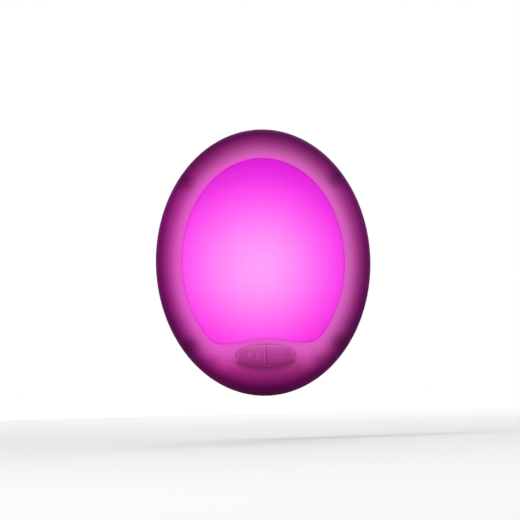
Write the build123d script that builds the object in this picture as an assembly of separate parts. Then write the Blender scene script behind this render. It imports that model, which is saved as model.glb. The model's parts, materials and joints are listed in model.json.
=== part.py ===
from build123d import *
import math
import os

# Plug-in wall night light, in millimetres.
# X runs to the right as seen from the room, Y into the wall and Z up.
# The origin lies on the wall face of the plug pad, midway between the two blades.
# "Out" is a distance from that face towards the room, so out = -Y.
# Outlines are drawn as seen from the room, about the centre of the oval body.

# Oval body
half_width = 52.5
half_height = 65.2
body_lift = 4.0
plug_reach = 10.0
rear_depth = 10.0
front_depth = 20.0
rim_radius = 16.0
rear_edge_radius = 8.0
wall = 2.0
parting_gap = 0.2

# Lip of the rear cover inside the front bezel
lip_wall = 1.2
lip_height = 1.6
lip_root = 4.0
lip_gap = 0.15

# Window opening: an oval whose lower edge is a shallow wave, and how much bezel is left round it
window_side = 12.8
window_top = 14.6
window_bottom = 28.2
wave_drop = 2.4
trough_offset = 17.6
trough_sweep = 50.0
window_corner_radius = 8.0

# Diffuser
window_gap = 0.15
window_recess = 0.3
diffuser_thickness = 1.6
skirt_width = 1.5
flange_width = 1.4
flange_thickness = 1.2
seat_gap = 0.05

# Reflector tray behind the diffuser
tray_floor_out = 25.0
tray_floor = 1.4
tray_wall = 1.2
tray_margin = 0.8

# Button oval, split into two caps
button_width = 29.8
button_height = 10.2
button_lift = 20.2
button_split = 0.5
button_gap = 0.25
button_rise = 0.3
button_travel = 0.5
cap_skin = 1.4
cap_wall = 1.2
cap_flange = 0.9
cap_flange_thickness = 1.0
cap_flange_gap = 0.3
stem_offset = 7.5
stem_radius = 1.8
stem_gap = 0.05

# Guide collar round the caps, on the inside of the bezel
collar_gap = 0.3
collar_wall = 1.2
collar_window_gap = 0.6

# Raised symbols on the caps
symbol_height = 0.2
play_offset = 7.2
play_width = 2.5
play_height = 4.4
pause_offset = 3.4
pause_bar_width = 0.85
pause_bar_height = 4.5
pause_pitch = 1.4
power_offset = 6.6
power_diameter = 4.8
power_stroke = 0.6
power_mouth_angle = 70.0
power_bar_height = 2.4
power_bar_lift = 1.3

# Case screws and their bosses, on an oval inside the body's own
case_boss_share = 0.878
case_boss_angle = 41.6
case_boss_relief = 0.6
front_boss_radius = 3.0
rear_boss_radius = 4.0
case_screw_radius = 1.05
case_screw_length = 12.0
case_hole_depth = 7.0
case_clearance_radius = 1.5
case_head_radius = 2.5
case_head_height = 1.8
case_head_gap = 0.3
case_seat_out = 14.0
thread_slack = 0.02
recess_length = 3.0
recess_width = 0.7
recess_depth = 1.0

# Plug pad and blades
pad_width = 38.0
pad_height = 32.0
pad_corner = 4.0
pad_wall = 2.0
pad_face = 3.0
pad_edge_radius = 1.0
blade_spacing = 12.7
blade_thickness = 1.5
blade_width = 6.35
blade_length = 16.0
blade_tip_chamfer = 1.0
blade_hole_radius = 1.6
blade_hole_reach = 11.8
blade_shoulder = 9.0
shoulder_depth = 2.0
tail_width = 4.5
tail_length = 5.5
blade_slot_gap = 0.1

# Blade retainer and its screws
retainer_width = 31.0
retainer_height = 11.0
retainer_corner = 2.0
retainer_depth = 3.0
retainer_screw_x = 12.6
retainer_boss_radius = 2.6
retainer_screw_radius = 0.9
retainer_hole_slack = 0.2
retainer_screw_grip = 3.0
retainer_hole_depth = 3.6
retainer_head_radius = 2.0
retainer_head_height = 1.6

# Small screws that hold the boards
board_screw_radius = 0.8
board_screw_length = 5.0
board_hole_radius = 1.1
board_head_radius = 1.9
board_head_height = 1.4
board_recess_length = 2.2
board_recess_width = 0.5
board_recess_depth = 0.8

# Main circuit board
standoff_height = 3.0
standoff_radius = 2.6
board_thickness = 1.6
main_board_width = 56.0
main_board_height = 25.5
main_board_lift = 27.7
main_board_chamfer = 4.0
main_screw_inset = 3.5
standoff_hole_depth = 3.6

# Tray posts of the rear cover
tray_post_radius = 2.4
tray_post_places = [(-30.0, -14.0), (30.0, -14.0), (-24.0, 32.0), (24.0, 32.0)]

# Switch board and its two push switches
switch_board_width = 47.0
switch_board_height = 9.8
switch_board_chamfer = 3.0
switch_board_shift = 1.1
switch_board_out = 25.1
switch_post_inset = 3.0
switch_post_radius = 2.4
switch_hole_depth = 4.8
switch_body_size = 6.0
switch_body_height = 3.5
plunger_radius = 1.75
plunger_rise = 0.8
plunger_root = 1.0
plunger_gap = 0.05
plunger_end_gap = 0.1

# Light board
led_board_width = 34.0
led_board_height = 44.0
led_board_corner = 4.0
led_board_thickness = 1.0
led_size = 5.0
led_height = 1.6
led_lens_radius = 2.0
led_lens_depth = 0.3
led_places = [(-7.0, -8.0), (7.0, -8.0), (-7.0, 8.0), (7.0, 8.0)]
peg_x = 13.5
peg_z = 18.0
peg_radius = 1.0
peg_hole_radius = 1.1
peg_head_radius = 1.7
peg_head_height = 0.6
lead_slot_width = 10.0
lead_slot_height = 5.0
lead_slot_drop = 16.4

# Parts soldered to the main board: centre across and up from the board's own, and their sizes
film_capacitor_inset = 13.0
film_capacitor_place = (film_capacitor_inset - main_board_width / 2, 4.0)
film_capacitor_size = (13.0, 9.0, 5.5)
film_capacitor_edge = 0.6
bulk_capacitor_place = (-10.0, -7.1)
bulk_capacitor_radius = 3.15
bulk_capacitor_length = 11.0
bulk_capacitor_edge = 0.5
rectifier_place = (0.0, 3.9)
rectifier_size = (6.4, 4.8, 2.5)
rectifier_edge = 0.4
fuse_resistor_place = (13.5, 6.5)
fuse_resistor_radius = 1.5
fuse_resistor_length = 9.0
fuse_resistor_edge = 0.4
inductor_place = (16.0, -3.0)
inductor_radius = 3.5
inductor_height = 6.0
inductor_flange = 1.0
inductor_waist = 2.6
controller_place = (3.0, -3.0)
controller_size = (4.9, 3.9, 1.5)
controller_edge = 0.25
controller_leg_pitch = 1.27
controller_legs_a_side = 4
controller_leg_width = 0.4
controller_leg_reach = 1.0
controller_leg_rise = 0.5
component_leg = 0.6
component_leg_reach = 1.4

# Insulated wires. Each bend is a point between the wire's ends: its out, and its share of the way up
mains_wire_radius = 0.8
signal_wire_radius = 0.55
signal_wire_pitch = 1.8
arc_share = 0.45
mains_pad_rise = 9.5
mains_bends = [(14.3, 0.0), (17.9, 0.11), (20.3, 0.36), (21.2, 0.68), (20.9, 0.92), (19.0, 1.0)]
led_wire_count = 4
led_pad_rise = 10.5
led_bends = [(19.2, 0.0), (21.2, 0.21), (21.9, 0.79), (23.9, 1.0)]
switch_wire_count = 3
switch_wire_x = 9.0
switch_pad_rise = -10.5
switch_bends = [(19.2, 0.0), (22.5, 1.0)]

# Blank rating panel, a shallow recess in the back
panel_width = 34.0
panel_height = 15.0
panel_corner = 2.0
panel_depth = 0.3
panel_lift = 30.0

# Places that follow from the sizes above
back_out = plug_reach
split_out = plug_reach + rear_depth
front_out = split_out + front_depth
floor_out = back_out + wall
window_half_width = half_width - window_side
window_half_height = half_height - window_top
wave_top = half_height - window_bottom
button_drop = half_height - button_lift
switch_board_drop = button_drop + switch_board_shift
main_board_drop = half_height - main_board_lift
plug_drop = -body_lift
plug_centre = Pos(0, plug_drop)
shoulder_out = pad_face
retainer_out = shoulder_out + shoulder_depth
retainer_top_out = retainer_out + retainer_depth
tail_end_out = retainer_out + tail_length
main_board_out = floor_out + standoff_height
main_top_out = main_board_out + board_thickness
tray_top_out = tray_floor_out + tray_floor
led_board_top_out = tray_top_out + led_board_thickness
switch_top_out = switch_board_out + board_thickness
switch_face_out = switch_top_out + switch_body_height
plunger_top_out = switch_face_out + plunger_rise
flange_rear_inset = wall + seat_gap + flange_thickness
cap_flange_front = wall + cap_flange_gap
cap_flange_rear = cap_flange_front + cap_flange_thickness
case_boss_x = case_boss_share * half_width * math.cos(math.radians(case_boss_angle))
case_boss_z = case_boss_share * half_height * math.sin(math.radians(case_boss_angle))
case_places = [(x * case_boss_x, z * case_boss_z) for x in (-1, 1) for z in (-1, 1)]
main_screw_x = main_board_width / 2 - main_screw_inset
switch_post_x = switch_board_width / 2 - switch_post_inset
retainer_places = [(x * retainer_screw_x, plug_drop) for x in (-1, 1)]
main_screw_places = [(x * main_screw_x, -main_board_drop) for x in (-1, 1)]
switch_post_places = [(x * switch_post_x, -switch_board_drop) for x in (-1, 1)]
peg_places = [(x * peg_x, z * peg_z) for x in (-1, 1) for z in (-1, 1)]


def facing(out):
    """Drawing plane that faces the room, centred on the body, at a distance out from the wall."""
    return Plane(origin=(0, -out, body_lift), x_dir=(1, 0, 0), z_dir=(0, -1, 0))


def slab(outline, near, far):
    """Straight solid over an outline, between two distances out from the wall."""
    return extrude(facing(near) * outline, amount=far - near)


def rod(place, radius, near, far):
    """Round solid that points out of the wall."""
    return slab(Pos(*place) * Circle(radius), near, far)


def rods(places, radius, near, far):
    """One round solid at each place."""
    return [rod(place, radius, near, far) for place in places]


def turned_oval(outline, inset):
    """Turns a half outline about the body's axis and stretches it upwards into an oval."""
    stretch = (half_height - inset) / (half_width - inset)
    turned = revolve(make_face(outline), axis=Axis.Y)
    return Pos(0, 0, body_lift) * scale(turned, by=(1, 1, stretch))


def front_form(inset):
    """Everything behind the front surface, moved inwards by inset: a rim arc that runs into a crown."""
    edge = half_width - inset
    radius = rim_radius - inset
    rise = front_depth - inset
    middle = edge - radius
    crown = (middle**2 + rise**2 - radius**2) / (2 * (rise - radius))
    turn = math.degrees(math.asin(middle / (crown - radius)))
    base, tip = -split_out, -(split_out + rise)
    outline = [
        Line((0, base), (edge, base)),
        CenterArc((middle, base), radius, 0, turn - 90),
        CenterArc((0, tip + crown), crown, turn - 90, -turn),
        Line((0, tip), (0, base)),
    ]
    return turned_oval(outline, inset)


def rear_form(inset):
    """Everything in front of the back surface, moved inwards by inset: a band, an edge arc and a flat."""
    edge = half_width - inset
    radius = rear_edge_radius - inset
    back = -(back_out + inset)
    outline = [
        Line((0, -split_out), (edge, -split_out)),
        Line((edge, -split_out), (edge, back - radius)),
        CenterArc((edge - radius, back - radius), radius, 0, 90),
        Line((edge - radius, back), (0, back)),
        Line((0, back), (0, -split_out)),
    ]
    return turned_oval(outline, inset)


def below_wave(grow):
    """Everything below the window's lower edge, which moves down by grow."""
    angle = 2 * math.degrees(math.atan(wave_drop / trough_offset))
    radius = trough_offset / 2 / math.sin(math.radians(angle))
    crest_centre = (0, -wave_top - radius)
    trough_height = radius - wave_top - wave_drop
    sweep = angle + trough_sweep
    crest = CenterArc(crest_centre, radius - grow, 90 - angle, 2 * angle)
    right = CenterArc((trough_offset, trough_height), radius + grow, trough_sweep - 90, -sweep)
    left = CenterArc((-trough_offset, trough_height), radius + grow, -90 - trough_sweep, sweep)
    far = half_height + radius
    right_end, left_end = right @ 0, left @ 0
    border = Polyline(
        (left_end.X, left_end.Y),
        (-far, left_end.Y),
        (-far, -far),
        (far, -far),
        (far, right_end.Y),
        (right_end.X, right_end.Y),
    )
    return make_face([border, right, crest, left])


def window_prism(grow, near, far):
    """Straight solid over the window's outline, grown all round, with rounded lower corners."""
    oval = Ellipse(window_half_width + grow, window_half_height + grow)
    prism = slab(oval - below_wave(grow), near, far)
    corners = [
        edge
        for edge in prism.edges().filter_by(Axis.Y)
        if abs(edge.center().X) > trough_offset and edge.center().Z < body_lift - trough_offset
    ]
    return fillet(corners, window_corner_radius + grow)


def button_oval(grow):
    """Outline of the button opening, grown all round."""
    return Pos(0, -button_drop) * Ellipse(button_width / 2 + grow, button_height / 2 + grow)


def cap_half(side, grow, setback=0):
    """Outline of one cap: half the oval, up to the split between the two caps."""
    width = button_width
    across = side * (button_split / 2 + setback + width / 2)
    return button_oval(grow) & Pos(across, -button_drop) * Rectangle(width, width)


def cross_recess(place, length, width, near, far):
    """Cross for a screwdriver, to be cut from a screw head."""
    bars = Rectangle(length, width) + Rectangle(width, length)
    return slab(Pos(*place) * bars, near, far)


def screw(place, shank_radius, seat, length, head_radius, head_height, recess):
    """Pan-head screw driven from behind: its head lies behind the seat and its shank points out."""
    body = rod(place, shank_radius - thread_slack, seat, seat + length)
    head = rod(place, head_radius, seat - head_height, seat)
    recess_across, recess_slot, recess_deep = recess
    rear = seat - head_height
    cross = cross_recess(place, recess_across, recess_slot, rear, rear + recess_deep)
    return body + head - cross


def board_screw(place, seat, forwards):
    """Small screw of a circuit board: forwards into a post in front, or back into a standoff."""
    side = 1 if forwards else -1
    tip = seat + side * board_screw_length
    head_end = seat - side * board_head_height
    recess_end = head_end + side * board_recess_depth
    body = rod(place, board_screw_radius - thread_slack, min(seat, tip), max(seat, tip))
    head = rod(place, board_head_radius, min(seat, head_end), max(seat, head_end))
    near, far = sorted((head_end, recess_end))
    return body + head - cross_recess(place, board_recess_length, board_recess_width, near, far)


def front_bezel():
    """Front shell with its window, button opening, collar, case bosses and switch board posts."""
    everywhere = Rectangle(3 * half_width, 3 * half_height)
    inner = front_form(wall / 2)
    bezel = front_form(0) - front_form(wall)
    bezel -= slab(everywhere, back_out, split_out + parting_gap)
    collar_inner = cap_flange + collar_gap
    collar_ring = button_oval(collar_inner + collar_wall) - button_oval(collar_inner)
    collar = slab(collar_ring, plunger_top_out, front_out)
    collar -= window_prism(flange_width + collar_window_gap, split_out, front_out)
    bezel += collar & inner
    for boss in rods(case_places, front_boss_radius, split_out, front_out):
        bezel += boss & inner
    well = slab(button_oval(collar_inner), switch_top_out, front_out)
    for post in rods(switch_post_places, switch_post_radius, switch_top_out, front_out):
        bezel += (post - well) & inner
    bezel -= window_prism(0, split_out, front_out)
    bezel -= slab(button_oval(0), split_out, front_out)
    bezel -= rods(case_places, case_screw_radius, split_out, split_out + case_hole_depth)
    post_hole_end = switch_top_out + switch_hole_depth
    return bezel - rods(switch_post_places, board_screw_radius, switch_top_out, post_hole_end)


def diffuser_window():
    """Opal dome that fills the window, with a skirt and a flange behind the bezel."""
    outline = window_prism(-window_gap, split_out, front_out)
    flange = window_prism(flange_width, split_out, front_out) & front_form(wall + seat_gap)
    hollow = window_prism(-window_gap - skirt_width, split_out, front_out)
    hollow &= front_form(window_recess + diffuser_thickness)
    window = (outline & front_form(window_recess)) + flange - hollow
    return window - front_form(flange_rear_inset)


def rear_cover():
    """Rear shell with its lip, plug pad, case bosses, board standoffs and tray posts."""
    cover = rear_form(0) - rear_form(wall)
    lip_inset = wall + lip_gap
    lip_inner = Ellipse(half_width - lip_inset - lip_wall, half_height - lip_inset - lip_wall)
    root = Ellipse(half_width - wall / 2, half_height - wall / 2) - lip_inner
    cover += slab(root, split_out - lip_root, split_out) & rear_form(wall / 2)
    lip = Ellipse(half_width - lip_inset, half_height - lip_inset) - lip_inner
    relief = rods(case_places, front_boss_radius + case_boss_relief, split_out, split_out + lip_height)
    cover += slab(lip, split_out, split_out + lip_height) - relief
    pad = slab(plug_centre * RectangleRounded(pad_width, pad_height, pad_corner), 0, floor_out)
    cover += fillet(pad.faces().sort_by(Axis.Y)[-1].edges(), pad_edge_radius)
    for boss in rods(case_places, rear_boss_radius, back_out, split_out):
        cover += boss & rear_form(0)
    cavity_width, cavity_height = pad_width - 2 * pad_wall, pad_height - 2 * pad_wall
    cavity = plug_centre * RectangleRounded(cavity_width, cavity_height, pad_corner - pad_wall)
    cover -= slab(cavity, pad_face, floor_out)
    cover += rods(retainer_places, retainer_boss_radius, pad_face, retainer_out)
    cover += rods(main_screw_places, standoff_radius, back_out + wall / 2, main_board_out)
    cover += rods(tray_post_places, tray_post_radius, back_out + wall / 2, tray_floor_out)
    slot = Rectangle(blade_thickness + 2 * blade_slot_gap, blade_width + 2 * blade_slot_gap)
    for side in (-1, 1):
        cover -= slab(Pos(side * blade_spacing / 2, plug_drop) * slot, 0, pad_face)
    retainer_hole_end = retainer_out - retainer_hole_depth
    cover -= rods(retainer_places, retainer_screw_radius, retainer_hole_end, retainer_out)
    cover -= rods(case_places, case_clearance_radius, case_seat_out, split_out)
    cover -= rods(case_places, case_head_radius + case_head_gap, 0, case_seat_out)
    standoff_hole_end = main_board_out - standoff_hole_depth
    cover -= rods(main_screw_places, board_screw_radius, standoff_hole_end, main_board_out)
    panel = Pos(0, panel_lift) * RectangleRounded(panel_width, panel_height, panel_corner)
    return cover - slab(panel, back_out, back_out + panel_depth)


def play_pause_symbol():
    """A play triangle beside the two bars of pause."""
    half_play = play_width / 2
    corners = [(-half_play, -play_height / 2), (half_play, 0), (-half_play, play_height / 2)]
    triangle = Pos(-play_offset, -button_drop) * make_face(Polyline(*corners, close=True))
    bar = Rectangle(pause_bar_width, pause_bar_height)
    bars = [
        Pos(-pause_offset + side * pause_pitch / 2, -button_drop) * bar for side in (-1, 1)
    ]
    return [triangle, *bars]


def power_symbol():
    """An open ring with an upright bar in its mouth."""
    radius = power_diameter / 2
    spread = power_diameter * math.tan(math.radians(power_mouth_angle / 2))
    corners = [(0, 0), (spread, power_diameter), (-spread, power_diameter)]
    mouth = make_face(Polyline(*corners, close=True))
    ring = Circle(radius) - Circle(radius - power_stroke) - mouth
    bar = Pos(0, power_bar_lift) * Rectangle(power_stroke, power_bar_height)
    return [Pos(power_offset, -button_drop) * shape for shape in (ring, bar)]


def button_cap(side, symbol):
    """One cap: a face that follows the bezel, a skirt, a flange behind the bezel and a stem."""
    body = slab(cap_half(side, -button_gap), split_out, front_out) & front_form(-button_rise)
    body += slab(cap_half(side, cap_flange), split_out, front_out) & front_form(cap_flange_front)
    skin_rear = front_form(cap_skin - button_rise)
    hollow = slab(cap_half(side, -button_gap - cap_wall, cap_wall), split_out, front_out)
    body -= hollow & skin_rear
    body -= front_form(cap_flange_rear)
    stem = rod((side * stem_offset, -button_drop), stem_radius, plunger_top_out + stem_gap, front_out)
    body += stem & front_form(0)
    for outline in symbol:
        relief = slab(outline, split_out, front_out) & front_form(-button_rise - symbol_height)
        body += relief - front_form(0)
    return body


def reflector_tray():
    """White tray behind the diffuser: a floor, a wall up to the flange and pegs for the light board."""
    tray = window_prism(tray_margin, tray_floor_out, front_out)
    tray &= front_form(flange_rear_inset + seat_gap)
    tray -= window_prism(tray_margin - tray_wall, tray_top_out, front_out)
    slot = Pos(0, -lead_slot_drop) * Rectangle(lead_slot_width, lead_slot_height)
    tray -= slab(slot, tray_floor_out, tray_top_out)
    tray += rods(peg_places, peg_radius, tray_floor_out, led_board_top_out)
    return tray + rods(peg_places, peg_head_radius, led_board_top_out, led_board_top_out + peg_head_height)


def led_board():
    """Light board, held on the tray's pegs."""
    board = slab(
        RectangleRounded(led_board_width, led_board_height, led_board_corner),
        tray_top_out,
        led_board_top_out,
    )
    return board - rods(peg_places, peg_hole_radius, tray_top_out, led_board_top_out)


def rgb_leds():
    """Square three-colour LEDs with a round lens well."""
    face = led_board_top_out + led_height
    leds = []
    for place in led_places:
        package = slab(Pos(*place) * Rectangle(led_size, led_size), led_board_top_out, face)
        leds.append(package - rod(place, led_lens_radius, face - led_lens_depth, face))
    return Compound(children=leds)


def main_board():
    """Mains circuit board with cut lower corners and two screw holes."""
    outline = Rectangle(main_board_width, main_board_height)
    outline = chamfer(outline.vertices().group_by(Axis.Y)[0], main_board_chamfer)
    board = slab(Pos(0, -main_board_drop) * outline, main_board_out, main_top_out)
    return board - rods(main_screw_places, board_hole_radius, main_board_out, main_top_out)


def switch_board():
    """Narrow board behind the buttons, on the two posts of the bezel, with cut lower corners."""
    outline = Rectangle(switch_board_width, switch_board_height)
    outline = chamfer(outline.vertices().group_by(Axis.Y)[0], switch_board_chamfer)
    board = slab(Pos(0, -switch_board_drop) * outline, switch_board_out, switch_top_out)
    return board - rods(switch_post_places, board_hole_radius, switch_board_out, switch_top_out)


def push_switch(side):
    """Square push switch with the bore of its plunger."""
    place = (side * stem_offset, -button_drop)
    body = slab(Pos(*place) * Rectangle(switch_body_size, switch_body_size), switch_top_out, switch_face_out)
    bore_end = switch_face_out - plunger_root - button_travel - plunger_end_gap
    return body - rod(place, plunger_radius + plunger_gap, bore_end, switch_face_out)


def push_plunger(side):
    """Plunger of one push switch."""
    place = (side * stem_offset, -button_drop)
    return rod(place, plunger_radius, switch_face_out - plunger_root, plunger_top_out)


def on_board(place):
    """Place given from the main board's centre, as one from the body's centre."""
    across, up = place
    return (across, up - main_board_drop)


def component(place, size, edge):
    """Moulded block that stands on the main board, with eased front edges."""
    across, upright, rise = size
    outline = Pos(*on_board(place)) * Rectangle(across, upright)
    block = slab(outline, main_top_out, main_top_out + rise)
    return chamfer(block.faces().sort_by(Axis.Y)[0].edges(), edge)


def lying_drum(place, radius, length, edge):
    """Round component that lies along the main board."""
    across, up = on_board(place)
    axis_plane = Plane(
        origin=(across - length / 2, -main_top_out - radius, body_lift + up), z_dir=(1, 0, 0)
    )
    drum = extrude(axis_plane * Circle(radius), amount=length)
    return chamfer(drum.edges().filter_by(GeomType.CIRCLE), edge)


def bent_leg(across, up, side, axis_out):
    """Lead that leaves the end of a lying component and turns down to the main board."""
    half = component_leg / 2
    run = Pos(across + side * component_leg_reach / 2, up)
    bar = slab(run * Rectangle(component_leg_reach, component_leg), axis_out - half, axis_out + half)
    foot = Pos(across + side * (component_leg_reach - half), up) * Rectangle(component_leg, component_leg)
    return bar + slab(foot, main_top_out, axis_out + half)


def bulk_capacitor():
    """Electrolytic can that lies on the board, both leads at one end."""
    can = lying_drum(
        bulk_capacitor_place, bulk_capacitor_radius, bulk_capacitor_length, bulk_capacitor_edge
    )
    across, up = on_board(bulk_capacitor_place)
    for side in (-1, 1):
        leg_up = up + side * bulk_capacitor_radius / 2
        can += bent_leg(
            across + bulk_capacitor_length / 2, leg_up, 1, main_top_out + bulk_capacitor_radius
        )
    return can


def fuse_resistor():
    """Fusible resistor with a lead at each end."""
    drum = lying_drum(
        fuse_resistor_place, fuse_resistor_radius, fuse_resistor_length, fuse_resistor_edge
    )
    across, up = on_board(fuse_resistor_place)
    for side in (-1, 1):
        end = across + side * fuse_resistor_length / 2
        drum += bent_leg(end, up, side, main_top_out + fuse_resistor_radius)
    return drum


def inductor():
    """Drum core that stands on the board, narrower between its two flanges."""
    place = on_board(inductor_place)
    top = main_top_out + inductor_height
    core = rod(place, inductor_waist, main_top_out, top)
    core += rod(place, inductor_radius, main_top_out, main_top_out + inductor_flange)
    return core + rod(place, inductor_radius, top - inductor_flange, top)


def controller_chip():
    """Small chip with four legs on each long side."""
    across, up = on_board(controller_place)
    _, height, _ = controller_size
    chip = component(controller_place, controller_size, controller_edge)
    leg = Rectangle(controller_leg_width, height + 2 * controller_leg_reach)
    first = across - controller_leg_pitch * (controller_legs_a_side - 1) / 2
    for index in range(controller_legs_a_side):
        place = Pos(first + index * controller_leg_pitch, up)
        chip += slab(place * leg, main_top_out, main_top_out + controller_leg_rise)
    return chip


def blade(side):
    """Flat blade with a pierced tip, a shoulder inside the pad and a tail for its wire."""
    prong = Rectangle(blade_length + shoulder_out, blade_width)
    prong = chamfer(prong.vertices().group_by(Axis.X)[-1], blade_tip_chamfer)
    outline = Pos((blade_length - shoulder_out) / 2, 0) * prong
    outline += Pos(-shoulder_out - shoulder_depth / 2, 0) * Rectangle(shoulder_depth, blade_shoulder)
    outline += Pos(-retainer_out - tail_length / 2, 0) * Rectangle(tail_length, tail_width)
    outline -= Pos(blade_hole_reach, 0) * Circle(blade_hole_radius)
    middle = Plane(origin=(side * blade_spacing / 2, 0, 0), x_dir=(0, 1, 0), z_dir=(1, 0, 0))
    return extrude(middle * outline, amount=blade_thickness / 2, both=True)


def blade_retainer():
    """Plate that clamps both blade shoulders against the pad's face."""
    outline = plug_centre * RectangleRounded(retainer_width, retainer_height, retainer_corner)
    plate = slab(outline, retainer_out, retainer_top_out)
    slot = Rectangle(blade_thickness + 2 * blade_slot_gap, tail_width + 2 * blade_slot_gap)
    for side in (-1, 1):
        plate -= slab(Pos(side * blade_spacing / 2, plug_drop) * slot, retainer_out, retainer_top_out)
    hole = retainer_screw_radius + retainer_hole_slack
    return plate - rods(retainer_places, hole, retainer_out, retainer_top_out)


def retainer_screw(place):
    """Screw driven from the room side through the retainer into its boss."""
    top = retainer_top_out + retainer_head_height
    near = retainer_out - retainer_screw_grip
    body = rod(place, retainer_screw_radius - thread_slack, near, retainer_top_out)
    body += rod(place, retainer_head_radius, retainer_top_out, top)
    return body - cross_recess(
        place, board_recess_length, board_recess_width, top - board_recess_depth, top
    )


def wire(name, across, stations, radius):
    """Insulated wire in one upright plane: straight runs joined by tangent arcs."""
    points = [Vector(across, -out, body_lift + up) for out, up in stations]
    runs = [end - start for start, end in zip(points, points[1:])]
    radii = [
        arc_share * min(one.length, two.length) / math.tan(math.radians(one.get_angle(two) / 2))
        for one, two in zip(runs, runs[1:])
    ]
    path = FilletPolyline(*points, radius=radii)
    section = Plane(origin=points[0], z_dir=runs[0]) * Circle(radius)
    tube = sweep(section, path=path)
    expected = math.pi * radius**2 * path.length
    print(name, "bend radii", [round(bend, 1) for bend in radii], end=" ")
    print("length", round(path.length, 1), "volume share", round(tube.volume / expected, 4))
    return tube


def wire_row(name, centre, count, stations):
    """Parallel signal wires, side by side."""
    first = centre - signal_wire_pitch * (count - 1) / 2
    return Compound(
        children=[
            wire(f"{name} {index + 1}", first + index * signal_wire_pitch, stations, signal_wire_radius)
            for index in range(count)
        ]
    )


def route(start, end, bends):
    """Points of a wire from start to end, both (out, up), by way of its bends."""
    low, high = start[1], end[1]
    return [start, *((out, low + share * (high - low)) for out, share in bends), end]


mains_route = route(
    (tail_end_out, plug_drop), (main_top_out, mains_pad_rise - main_board_drop), mains_bends
)
led_route = route(
    (main_top_out, led_pad_rise - main_board_drop), (tray_top_out, -lead_slot_drop), led_bends
)
switch_route = route(
    (main_top_out, switch_pad_rise - main_board_drop), (switch_board_out, -button_drop), switch_bends
)

case_recess = (recess_length, recess_width, recess_depth)
case_screws = [
    screw(
        place,
        case_screw_radius,
        case_seat_out,
        case_screw_length,
        case_head_radius,
        case_head_height,
        case_recess,
    )
    for place in case_places
]

sub_parts = {
    "front_bezel": front_bezel(),
    "diffuser_window": diffuser_window(),
    "rear_cover": rear_cover(),
    "play_pause_button": button_cap(-1, play_pause_symbol()),
    "power_button": button_cap(1, power_symbol()),
    "reflector_tray": reflector_tray(),
    "led_board": led_board(),
    "rgb_leds": rgb_leds(),
    "switch_board": switch_board(),
    "play_pause_switch": push_switch(-1),
    "power_switch": push_switch(1),
    "play_pause_plunger": push_plunger(-1),
    "power_plunger": push_plunger(1),
    "main_board": main_board(),
    "film_capacitor": component(film_capacitor_place, film_capacitor_size, film_capacitor_edge),
    "bulk_capacitor": bulk_capacitor(),
    "bridge_rectifier": component(rectifier_place, rectifier_size, rectifier_edge),
    "fuse_resistor": fuse_resistor(),
    "inductor": inductor(),
    "controller_chip": controller_chip(),
    "left_blade": blade(-1),
    "right_blade": blade(1),
    "blade_retainer": blade_retainer(),
    "left_mains_wire": wire("left mains wire", -blade_spacing / 2, mains_route, mains_wire_radius),
    "right_mains_wire": wire("right mains wire", blade_spacing / 2, mains_route, mains_wire_radius),
    "led_wires": wire_row("led wire", 0, led_wire_count, led_route),
    "switch_wires": wire_row("switch wire", switch_wire_x, switch_wire_count, switch_route),
    "case_screws": Compound(children=case_screws),
    "main_board_screws": Compound(
        children=[board_screw(place, main_top_out, False) for place in main_screw_places]
    ),
    "switch_board_screws": Compound(
        children=[board_screw(place, switch_board_out, True) for place in switch_post_places]
    ),
    "retainer_screws": Compound(children=[retainer_screw(place) for place in retainer_places]),
}

os.makedirs("parts", exist_ok=True)
for name, shape in sub_parts.items():
    export_step(shape, f"parts/{name}.step")
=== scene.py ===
"""Plug-in wall night light: its looks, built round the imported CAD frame."""

import json
import math

import bmesh
import bpy
from mathutils import Matrix, Vector

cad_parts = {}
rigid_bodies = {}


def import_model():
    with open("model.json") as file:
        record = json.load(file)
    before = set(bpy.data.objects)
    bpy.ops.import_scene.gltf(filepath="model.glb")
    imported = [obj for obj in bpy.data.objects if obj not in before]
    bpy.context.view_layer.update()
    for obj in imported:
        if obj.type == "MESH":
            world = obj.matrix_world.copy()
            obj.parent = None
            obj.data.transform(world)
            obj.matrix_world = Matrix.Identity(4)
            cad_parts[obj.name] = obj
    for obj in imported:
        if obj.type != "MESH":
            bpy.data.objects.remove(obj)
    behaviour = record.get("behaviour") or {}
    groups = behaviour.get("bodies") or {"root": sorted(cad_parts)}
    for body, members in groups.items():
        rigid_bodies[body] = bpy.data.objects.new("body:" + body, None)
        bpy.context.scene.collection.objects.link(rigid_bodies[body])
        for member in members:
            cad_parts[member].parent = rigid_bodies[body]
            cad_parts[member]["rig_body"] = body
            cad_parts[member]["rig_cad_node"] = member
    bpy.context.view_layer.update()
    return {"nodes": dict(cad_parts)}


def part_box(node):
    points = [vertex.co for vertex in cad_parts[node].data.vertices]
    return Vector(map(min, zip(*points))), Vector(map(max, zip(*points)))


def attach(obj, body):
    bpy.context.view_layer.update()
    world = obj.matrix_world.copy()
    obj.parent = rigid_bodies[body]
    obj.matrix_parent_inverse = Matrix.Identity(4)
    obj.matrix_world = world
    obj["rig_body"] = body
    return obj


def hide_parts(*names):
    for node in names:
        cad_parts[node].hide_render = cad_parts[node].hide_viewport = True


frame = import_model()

bl_info = {
    "name": "Night Light",
    "version": (1, 0, 0),
    "blender": (4, 5, 0),
    "location": "View3D > Sidebar > Night Light",
    "description": "Dresses the CAD frame of a plug-in wall night light",
    "category": "Object",
}

MM = 0.001
MERGE = 0.001 * MM
SHARP = math.radians(40)
FINISHED = {"FINISHED"}

rear_low, rear_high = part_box("rear_cover")


# Sizes and colours that a user can change


def screen(*channels):
    """Screen colour from three numbers up to 255."""
    return [channel / 255 for channel in channels]


def measure(name, description, default, unit="LENGTH"):
    """A size in metres, or an angle in radians when its unit says so."""
    return bpy.props.FloatProperty(
        name=name, description=description, default=default, unit=unit, precision=5
    )


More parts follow.
